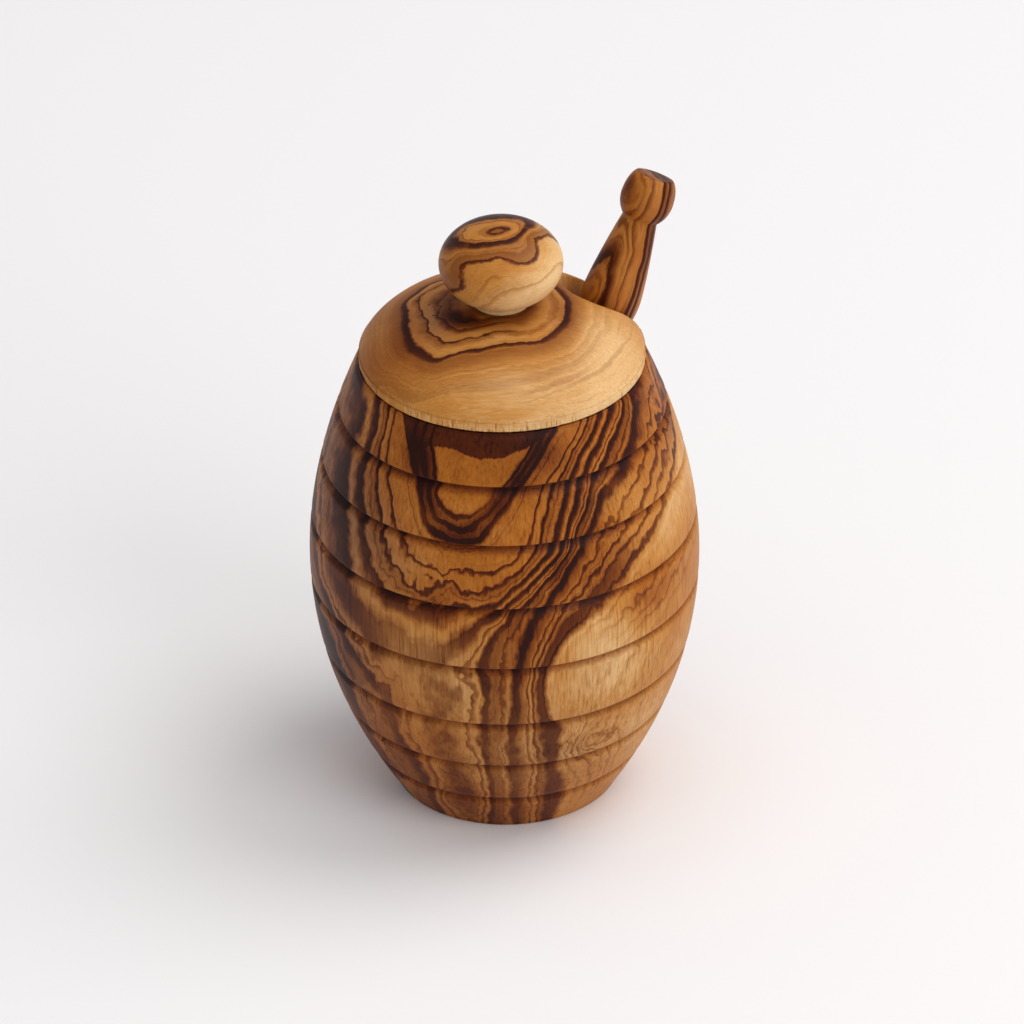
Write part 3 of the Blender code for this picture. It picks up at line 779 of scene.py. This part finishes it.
knob = {
    "radius": 13.4, "halfHeight": 9.25, "centreRise": 9.5, "neck": 5.7, "flare": 0.5,
    "tenonRadius": 4.0, "tenonLength": 8.5, "gap": 0.3, "segments": 128,
    "groundTone": 0.50, "paleBelow": 0.62, "rough": 0.33, "bump": 0.03,
}


def knobProfile():
    lowest = math.pi - math.asin(knob["neck"] / knob["radius"])
    points = [(0.0, knob["centreRise"] + knob["halfHeight"])]
    for angle in spread(0.0, lowest, 56)[1:]:
        height = knob["centreRise"] + knob["halfHeight"] * math.cos(angle)
        points.append((knob["radius"] * math.sin(angle), height))
    neck, flare = knob["neck"], knob["flare"]
    points += [(neck, flare + 0.3), (neck + 0.05, flare), (neck + 0.2, flare * 0.45), (neck + flare, 0.0)]
    points += [(knob["tenonRadius"], 0.0), (knob["tenonRadius"], -knob["tenonLength"] + 0.4),
               (knob["tenonRadius"] - 0.4, -knob["tenonLength"]), (0.0, -knob["tenonLength"])]
    return points


def knobFoot():
    return lid["seat"] + dome(lid["knobSeat"]) + knob["gap"]


# the knob's growth rings, as (right, up) from its middle in the photographed view
knobRings = (
    (0.0, ((-0.6, 6.6),)),
    (1.2, ((-2.7, 6.2), (-0.6, 7.0), (1.9, 6.9), (-0.2, 5.9))),
    (3.0, ((-6.9, 5.4), (-3.5, 5.1), (0.7, 5.4), (3.6, 6.9), (2.3, 8.0), (-1.8, 8.0), (-5.6, 7.0))),
    (5.5, ((-11.2, 4.3), (-8.5, 4.0), (-5.2, 3.5), (-0.2, 4.2), (4.0, 5.7), (6.5, 7.7), (5.3, 9.4),
           (1.5, 9.7), (-3.5, 9.5), (-7.7, 8.4), (-10.4, 6.2))),
    (8.0, ((-12.3, 2.0), (-8.5, 2.3), (-4.3, 2.2), (-0.2, 2.7), (4.0, 3.5))),
    (11.0, ((-8.1, -5.5), (-8.7, -2.2), (-7.3, 0.2), (-4.8, 0.2), (-1.0, 1.0), (1.9, 0.2),
            (5.3, -0.7), (7.8, 1.2), (7.5, 3.5), (6.6, 5.2), (9.9, 6.2), (12.2, 4.1))),
    (14.0, ((-4.3, -5.5), (-0.2, -3.0), (4.0, -3.0), (9.0, -1.3), (10.7, 2.6))),
    (18.0, ((-0.2, -8.9), (6.5, -6.4), (12.0, -2.2))),
    (9.0, ((-11.7, -3.0),)),
)

knobFigure = {
    "lines": ((1.2, 0.7, 0.95, 0.3), (3.9, 0.3, 0.5, 0.2), (5.6, 2.2, 1.0, 0.5),
              (8.4, 0.3, 0.45, 0.5), (11.1, 0.7, 0.85, 0.15), (16.5, 0.3, 0.25, 0.6)),
    "bands": ((1.0, 1.6, 0.4, 0.5), (5.7, 2.4, 0.62, 0.9), (10.0, 2.2, 0.42, 0.2)),
}


def onKnob(right, up):
    # the point of the knob seen there, on the side that faces the camera
    rise = math.radians(view["elevation"])
    wide, tall = knob["radius"], knob["halfHeight"]
    # along the line of sight: depth s, away = up sin - s cos, height = up cos + s sin
    a = (math.cos(rise) / wide) ** 2 + (math.sin(rise) / tall) ** 2
    b = 2 * up * math.sin(rise) * math.cos(rise) * (1 / tall ** 2 - 1 / wide ** 2)
    c = (right / wide) ** 2 + (up * math.sin(rise) / wide) ** 2 + (up * math.cos(rise) / tall) ** 2 - 1
    depth = (-b + math.sqrt(max(0.0, b * b - 4 * a * c))) / (2 * a)
    return (right, up * math.sin(rise) - depth * math.cos(rise),
            up * math.cos(rise) + depth * math.sin(rise))


def knobMiddle():
    return knobFoot() + knob["centreRise"]


def paintKnob(mesh):
    places = viewPlaces(mesh, (0, 0, knobMiddle()))
    growth = Growth(knobRings, onKnob, 1.0).at(places)
    lower = np.clip(places[:, 0] * 0.05 - places[:, 2] * 0.07 + 0.35, 0.0, 1.0)
    pale = knob["groundTone"] + knob["paleBelow"] * lower
    # painted shade: the knob turns greyer towards its underside, as if shaded there
    undersideShade = np.clip(-places[:, 2] / 6.0, 0.0, 1.0)
    paint(mesh, "figure", (growth, pale, undersideShade))


def knobWood():
    f = Finish("knobOliveWood")
    space = f.objectSpace(turn=math.radians(-view["azimuth"]), origin=(0, 0, knobMiddle() * mm))
    u, v, _ = f.parts(space)
    growth, pale, undersideShade = f.painted("figure")
    small = f.clouds(space, 0.35, 2.0, 0.55)
    jag = f.clouds(space, 1.2)
    ring = growth + (small[0] - 0.5) * 1.5 + (jag[0] - 0.5) * 0.5
    lines = f.bars(ring, -1, 20, knobFigure["lines"])
    bands = f.bars(ring + (small[1] - 0.5) * 0.8, -1, 20, knobFigure["bands"])
    streaks = f.threads(ring, u, v, 0.7, (0.04, 0.04), 3.0)
    fine = f.threads(ring, u, v, 2.4, (0.1, 0.1), 2.0)
    wild = f.smooth(streaks, 0.54, 0.68) * 0.25 + f.smooth(fine, 0.58, 0.75) * 0.18
    wild = wild * (1.0 - f.smooth(pale, 0.45, 0.8) * 0.7)
    dark = f.most(f.most(lines * (f.smooth(small[2], 0.3, 0.5) * 0.3 + 0.7), bands), wild)
    ground = pale + (small[2] - 0.5) * 0.25 + (streaks - 0.5) * 0.3
    fibre = f.noise(f.stretch(space, (0.5, 3.0, 3.0)), 1.0, 3.0, 0.65)
    # the underside's grey is painted shade
    tone = woodTone(f, ground, undersideShade * 0.1, dark, fibre)
    return f.finish(tone, knob["rough"] + fibre * 0.12, fibre * 0.4, knob["bump"])


# honey dipper

dipper = {
    "tilt": 26.9, "swing": 10.0, "clearance": 0.4, "notchClearance": 0.4,
    "ballRadius": 5.8, "ballTop": 0.7, "ballLength": 10.7, "flatShare": 0.72, "ballPower": 0.5,
    "neck": 3.9, "groundTone": 0.34, "rough": 0.36, "bump": 0.03,
    "grip": 6.5, "gripLength": 28.5, "crossing": 37.7, "mouthShare": 0.7, "gripPower": 1.3,
    "shaft": 3.1, "taper": 24.0, "head": 28.5, "headRadius": 10.0, "endShare": 0.82,
    "ridges": 6, "slotDepth": 3.8, "slotShare": 0.42, "segments": 96,
}


def dipperAxis():
    tilt, swing = math.radians(dipper["tilt"]), math.radians(dipper["swing"])
    return Vector((math.sin(tilt) * math.cos(swing), math.sin(tilt) * math.sin(swing), math.cos(tilt)))


def dipperCrossing():
    axis = dipperAxis()
    slack = lid["notchWidth"] / 2 - dipper["grip"] - dipper["notchClearance"]
    side = -slack - axis.y * (dipper["crossing"] - dipper["gripLength"])
    mouth = pot["rimRadius"] - pot["rimWall"]
    reach = mouth - dipper["clearance"] - dipper["mouthShare"] * dipper["grip"] / axis.z
    return Vector((math.sqrt(reach ** 2 - side ** 2), side, pot["rimHeight"]))


def dipperLength():
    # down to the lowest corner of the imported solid, measured along the axis
    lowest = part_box("dipper")[0].z / mm
    endRadius = dipper["headRadius"] * dipper["endShare"]
    corner = lowest + endRadius * math.sin(math.radians(dipper["tilt"]))
    return dipper["crossing"] + (pot["rimHeight"] - corner) / dipperAxis().z


def gripRadius(length):
    grip = dipper["grip"]
    if length < dipper["gripLength"]:
        share = (dipper["gripLength"] - length) / (dipper["gripLength"] - dipper["ballLength"])
        return grip - (grip - dipper["neck"]) * share ** dipper["gripPower"]
    share = (length - dipper["gripLength"]) / (dipper["crossing"] - dipper["gripLength"])
    return grip - grip * (1.0 - dipper["mouthShare"]) * share ** 2


def dipperProfile(total):
    # (radius, length down from the ball's top)
    flat, power, radius = dipper["flatShare"], dipper["ballPower"], dipper["ballRadius"]
    start = math.asin(flat ** (1 / power))
    finish = math.pi - math.asin(dipper["neck"] / radius)
    top = dipper["ballTop"]
    points = [(value, top) for value in spread(0.0, flat * radius - 0.3, 5)]
    for angle in spread(start, finish, 30):
        share = (math.cos(start) - math.cos(angle)) / (math.cos(start) - math.cos(finish))
        bend = power if angle < math.pi / 2 else 1.0
        length = top + (dipper["ballLength"] - top) * share
        points.append((radius * math.sin(angle) ** bend, max(length, top + 0.05)))
    grip = spread(dipper["ballLength"], dipper["gripLength"], 18)[1:]
    grip += spread(dipper["gripLength"], dipper["crossing"], 10)[1:]
    points += [(gripRadius(length), length) for length in grip]
    atMouth = dipper["mouthShare"] * dipper["grip"]
    end = dipper["crossing"] + dipper["taper"]
    for length in spread(dipper["crossing"], end, 12)[1:]:
        share = (end - length) / dipper["taper"]
        points.append((dipper["shaft"] + (atMouth - dipper["shaft"]) * share ** 2, length))
    return points + headProfile(total - dipper["head"], total)


def headProfile(start, end):
    count, slot = dipper["ridges"], dipper["slotShare"]
    pitch = (end - start) / (count - slot)
    thick = pitch * (1.0 - slot)
    bend = 0.8
    points = [(dipper["shaft"], start - 1.0), (dipper["shaft"] + 0.4, start - 0.3)]
    for ridge in range(count):
        place = ridge / (count - 1) * 2.0 - 1.0
        radius = dipper["headRadius"] * (1.0 - (1.0 - dipper["endShare"]) * place ** 2)
        core = radius - dipper["slotDepth"]
        top = start + ridge * pitch
        bottom = top + thick
        points += [(core + 0.3, top), (radius - bend - 0.6, top)]
        middle = radius - bend
        for angle in spread(0.0, math.pi / 2, 4):
            points.append((middle + bend * math.sin(angle), top + bend - bend * math.cos(angle)))
        for angle in spread(0.0, math.pi / 2, 4):
            points.append((middle + bend * math.cos(angle), bottom - bend + bend * math.sin(angle)))
        points += [(radius - bend - 0.6, bottom), (core + 0.3, bottom)]
        if ridge < count - 1:
            points += [(core, bottom + 0.3), (core, bottom + pitch - thick - 0.3)]
    points[-1] = (0.0, end)
    return points


def dipperTurn():
    axis = dipperAxis()
    matrix = axis.to_track_quat("Z", "Y").to_matrix().to_4x4()
    return Matrix.Translation(dipperCrossing() * mm) @ matrix


def dipperShape():
    total = dipperLength()
    profile = [(radius, dipper["crossing"] - length) for radius, length in dipperProfile(total)]
    shape = turned(profile, dipper["segments"])
    bmesh.ops.transform(shape, matrix=dipperTurn(), verts=shape.verts)
    return shape


def paintDipper(mesh):
    places = viewPlaces(mesh)
    axis = dipperAxis()
    crossing = dipperCrossing()
    along = places - np.array([crossing.dot(across), crossing.dot(away), pot["rimHeight"]])
    line = np.array([axis.dot(across), axis.dot(away), axis.z])
    length = along @ line
    side = along - length[:, None] * line[None, :]
    paint(mesh, "figure", (side[:, 0], side[:, 1], length))


# (right of the axis, width, darkness, fading tail) of the lines along the stick
dipperLines = ((-4.4, 0.8, 0.8, 0.8), (-1.6, 0.3, 0.5, 0.5), (1.3, 0.8, 0.95, 0.4),
               (3.2, 0.35, 0.6, 0.3), (5.4, 0.3, 0.4, 0.8))


def dipperWood():
    f = Finish("dipperOliveWood")
    side, deep, along = f.painted("figure")
    local = f.place(side, deep, along)
    slow = f.clouds(f.stretch(local, (1, 1, 0.5)), 0.14, 1.0)
    small = f.clouds(f.stretch(local, (1, 1, 0.5)), 0.5, 2.0, 0.55)
    ring = side * 0.9 + deep * 0.5 + (slow[0] - 0.5) * 3.6 + (small[0] - 0.5) + along * 0.04
    streaks = f.threads(ring, deep, along, 0.55, (0.02, 0.01), 3.0)
    fine = f.threads(ring, deep, along, 2.2, (0.1, 0.05), 2.0)
    dark = f.most(f.smooth(streaks, 0.55, 0.62) * 0.85, f.smooth(fine, 0.56, 0.7) * 0.4)
    dark = f.most(dark, f.smooth(streaks, 0.46, 0.6) * 0.35)
    dark = f.most(dark, f.bars(ring, -9, 9, dipperLines) * (f.smooth(small[2], 0.25, 0.5) * 0.4 + 0.6))
    ballEnd = dipper["crossing"] - dipper["ballTop"]
    cutEnd = f.smooth(along, ballEnd - 0.25, ballEnd)
    speckle = f.noise(f.stretch(local, (0.9, 2.6, 1)), 1.2, 2.0, 0.6)
    dark = dark + cutEnd * (f.smooth(speckle, 0.45, 0.62) * 0.45 + 0.08)
    ground = dipper["groundTone"] + (slow[2] - 0.5) * 0.5 + (small[2] - 0.5) * 0.2
    fibre = f.noise(f.stretch(local, (3.2, 3.2, 0.22)), 1.0, 3.0, 0.65)
    tone = woodTone(f, ground, slow[1] * 0.12, dark, fibre)
    return f.finish(tone, dipper["rough"] + fibre * 0.15, fibre * 0.5, dipper["bump"])


# room

room = {
    "floorColour": (0.92, 0.895, 0.888, 1.0), "floorRough": 0.7, "floorSpecular": 0.2, "floorReach": 4.0,
    "skyColour": (0.96, 0.97, 1.0, 1.0), "skyStrength": 0.48, "backdrop": (0.95, 0.93, 0.925, 1.0),
    "lampAim": 0.06,
}


def makeFloor():
    f = Finish("paleFloor")
    shader = f.add("ShaderNodeBsdfPrincipled", {}, {"Base Color": room["floorColour"],
                   "Roughness": room["floorRough"], "Specular IOR Level": room["floorSpecular"]})
    f.add("ShaderNodeOutputMaterial", {}, {"Surface": shader})
    shape = bmesh.new()
    bmesh.ops.create_grid(shape, x_segments=1, y_segments=1, size=room["floorReach"])
    mesh = bpy.data.meshes.new("floor")
    shape.to_mesh(mesh)
    shape.free()
    mesh.materials.append(f.material)
    floor = bpy.data.objects.new("floor", mesh)
    bpy.context.scene.collection.objects.link(floor)


def makeLamp(name, place, size, power):
    lamp = bpy.data.lights.new(name, "AREA")
    lamp.shape = "DISK"
    lamp.size = size
    lamp.energy = power
    thing = bpy.data.objects.new(name, lamp)
    spotPlace = across * place[0] + away * place[1] + Vector((0, 0, place[2]))
    aim = Vector((0, 0, room["lampAim"])) - spotPlace
    thing.matrix_world = Matrix.Translation(spotPlace) @ aim.to_track_quat("-Z", "Y").to_matrix().to_4x4()
    bpy.context.scene.collection.objects.link(thing)


# lamps: place is metres to the right, away and up from the pot
lighting = {
    "key": {"place": (1.0, 0.30, 1.62), "size": 1.3, "power": 12.5},
    "overhead": {"place": (0.3, 0.0, 2.2), "size": 2.4, "power": 11.0},
    "front": {"place": (1.1, -1.2, 1.1), "size": 1.3, "power": 11.0},
}


def makeLights():
    for name, lamp in lighting.items():
        makeLamp(name, lamp["place"], lamp["size"], lamp["power"])
    world = bpy.data.worlds.new("paleSky")
    world.use_nodes = True
    tree = world.node_tree
    background = tree.nodes["Background"]
    background.inputs["Color"].default_value = room["skyColour"]
    background.inputs["Strength"].default_value = room["skyStrength"]
    seen = tree.nodes.new("ShaderNodeBackground")
    seen.inputs["Color"].default_value = room["backdrop"]
    path = tree.nodes.new("ShaderNodeLightPath")
    choose = tree.nodes.new("ShaderNodeMixShader")
    tree.links.new(path.outputs["Is Camera Ray"], choose.inputs[0])
    tree.links.new(background.outputs[0], choose.inputs[1])
    tree.links.new(seen.outputs[0], choose.inputs[2])
    tree.links.new(choose.outputs[0], tree.nodes["World Output"].inputs["Surface"])
    bpy.context.scene.world = world


def makeCamera():
    rise, roll = math.radians(view["elevation"]), math.radians(view["roll"])
    up = Vector((0, 0, 1)) * math.cos(rise) + away * math.sin(rise)
    back = Vector((0, 0, 1)) * math.sin(rise) - away * math.cos(rise)
    spotPlace = Vector((0, 0, view["aimHeight"])) + across * view["aimRight"] + back * view["distance"]
    right = across * math.cos(roll) - up * math.sin(roll)
    top = across * math.sin(roll) + up * math.cos(roll)
    lens = bpy.data.cameras.new("camera")
    lens.sensor_width = view["sensor"]
    lens.lens = view["pixelsPerUnit"] / view["imageWidth"] * view["sensor"]
    camera = bpy.data.objects.new("camera", lens)
    camera.matrix_world = Matrix.Translation(spotPlace) @ Matrix((right, top, back)).transposed().to_4x4()
    bpy.context.scene.collection.objects.link(camera)
    bpy.context.scene.camera = camera


makeCamera()
makeLights()
makeFloor()
bpy.context.scene.view_settings.view_transform = "Standard"
print("room ready")

potShape = turned(potProfile(), pot["segments"])
finished("turnedPot", potShape, paintPot, potWood(), "pot_body", "pot")
finished("domedLid", lidShape(), paintLid, lidWood(), "lid", "lid_with_knob")
knobShape = turned(knobProfile(), knob["segments"])
bmesh.ops.translate(knobShape, vec=(0, 0, knobFoot() * mm), verts=knobShape.verts)
finished("lidKnob", knobShape, paintKnob, knobWood(), "lid_knob", "lid_with_knob")
finished("honeyDipper", dipperShape(), paintDipper, dipperWood(), "dipper", "dipper_stick")
